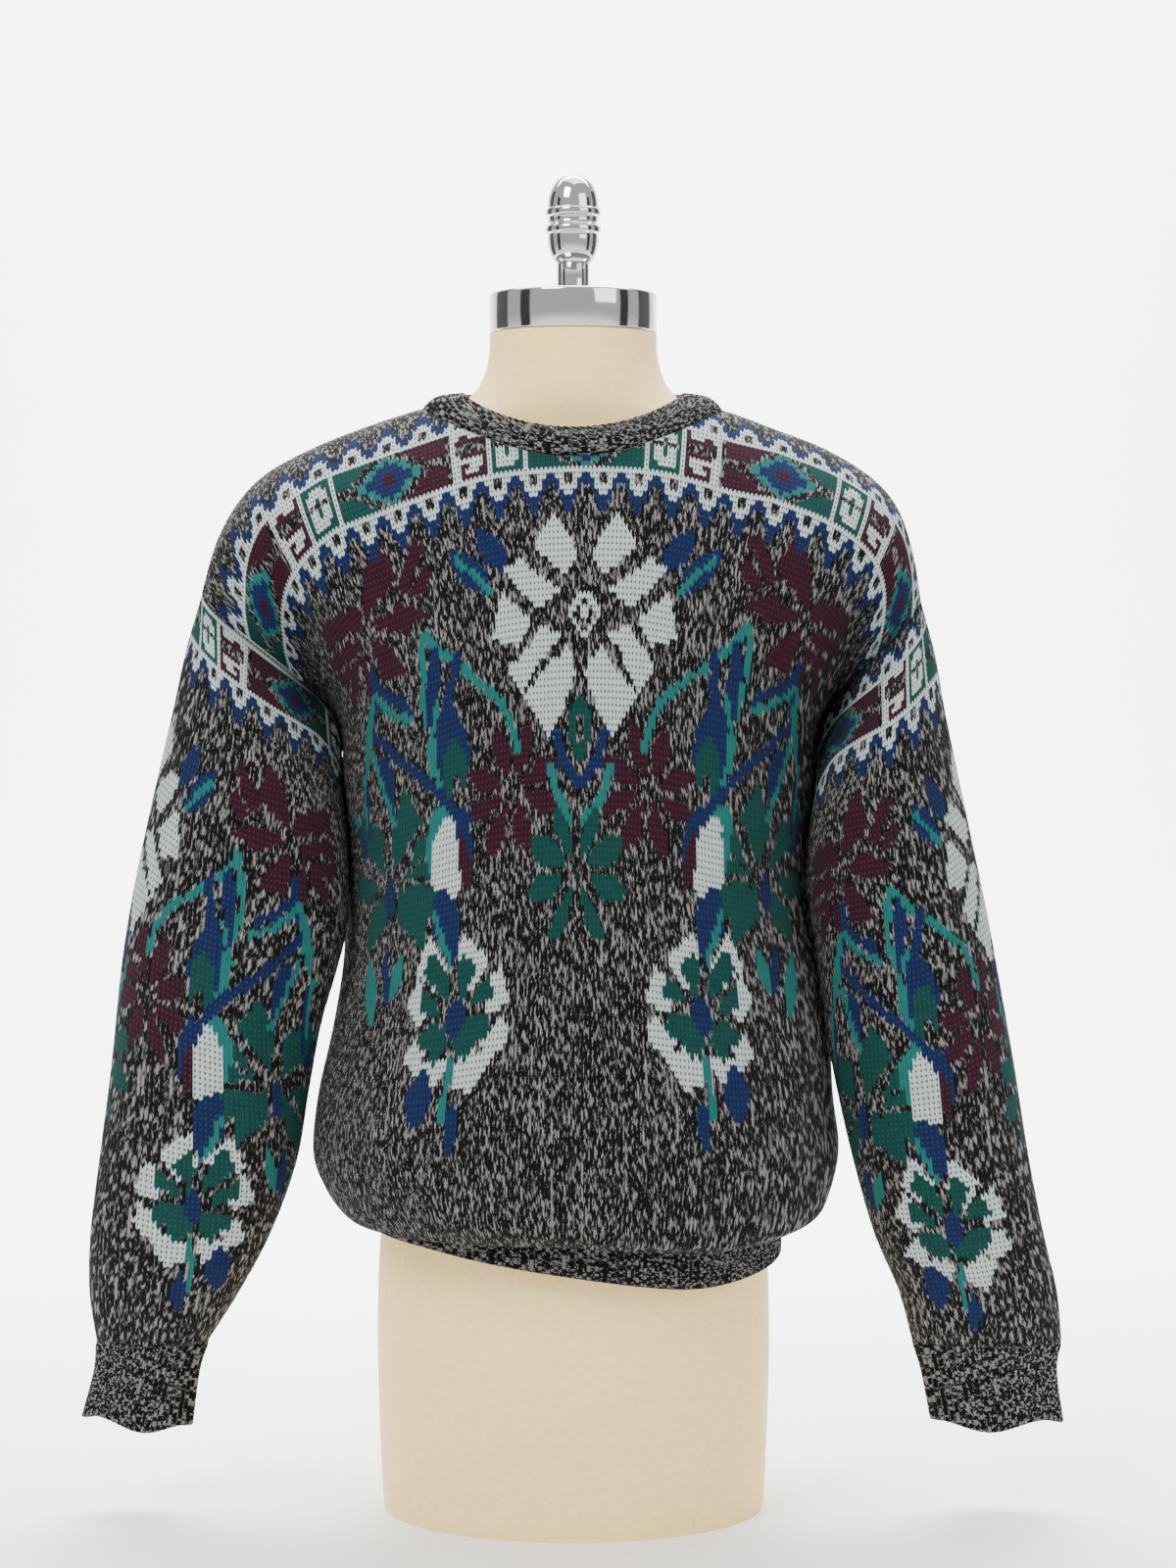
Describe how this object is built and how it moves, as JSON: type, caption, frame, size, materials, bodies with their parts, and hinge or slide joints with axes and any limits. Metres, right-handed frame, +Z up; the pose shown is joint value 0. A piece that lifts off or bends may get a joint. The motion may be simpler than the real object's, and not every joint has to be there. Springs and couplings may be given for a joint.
{
  "type": "sweater on dress form",
  "caption": "Loose knitted crew-neck sweater with dropped shoulders and ribbed edges, worn by a limbless dress form with a metal neck cap.",
  "frame": {"origin": "middle of the flat underside that the form stands on", "axes": "+Z up, -Y towards the front of the sweater, +X towards the sleeve at a front viewer's right"},
  "size_m": [0.7208, 0.337, 0.98],
  "materials": {
    "knit_front": "fancy-pattern knit, matt",
    "knit_back": "fancy-pattern knit, matt",
    "knit_sleeve_left": "fancy-pattern knit, matt",
    "knit_sleeve_right": "fancy-pattern knit, matt",
    "rib_cuff_left": "marled rib knit, matt",
    "rib_cuff_right": "marled rib knit, matt",
    "rib_hem": "marled rib knit, matt",
    "rib_neck": "marled rib knit, matt",
    "form_linen": "tight linen cover, matt",
    "cap_chrome": "polished",
    "finial_chrome": "polished"
  },
  "bodies": {
    "root": {"sweater_front": "knit_front", "sweater_back": "knit_back", "sleeve_left": "knit_sleeve_left", "sleeve_right": "knit_sleeve_right", "cuff_left": "rib_cuff_left", "cuff_right": "rib_cuff_right", "hem_band": "rib_hem", "neckband": "rib_neck", "form_torso": "form_linen", "neck_cap": "cap_chrome", "finial": "finial_chrome"}
  },
  "joints": []
}
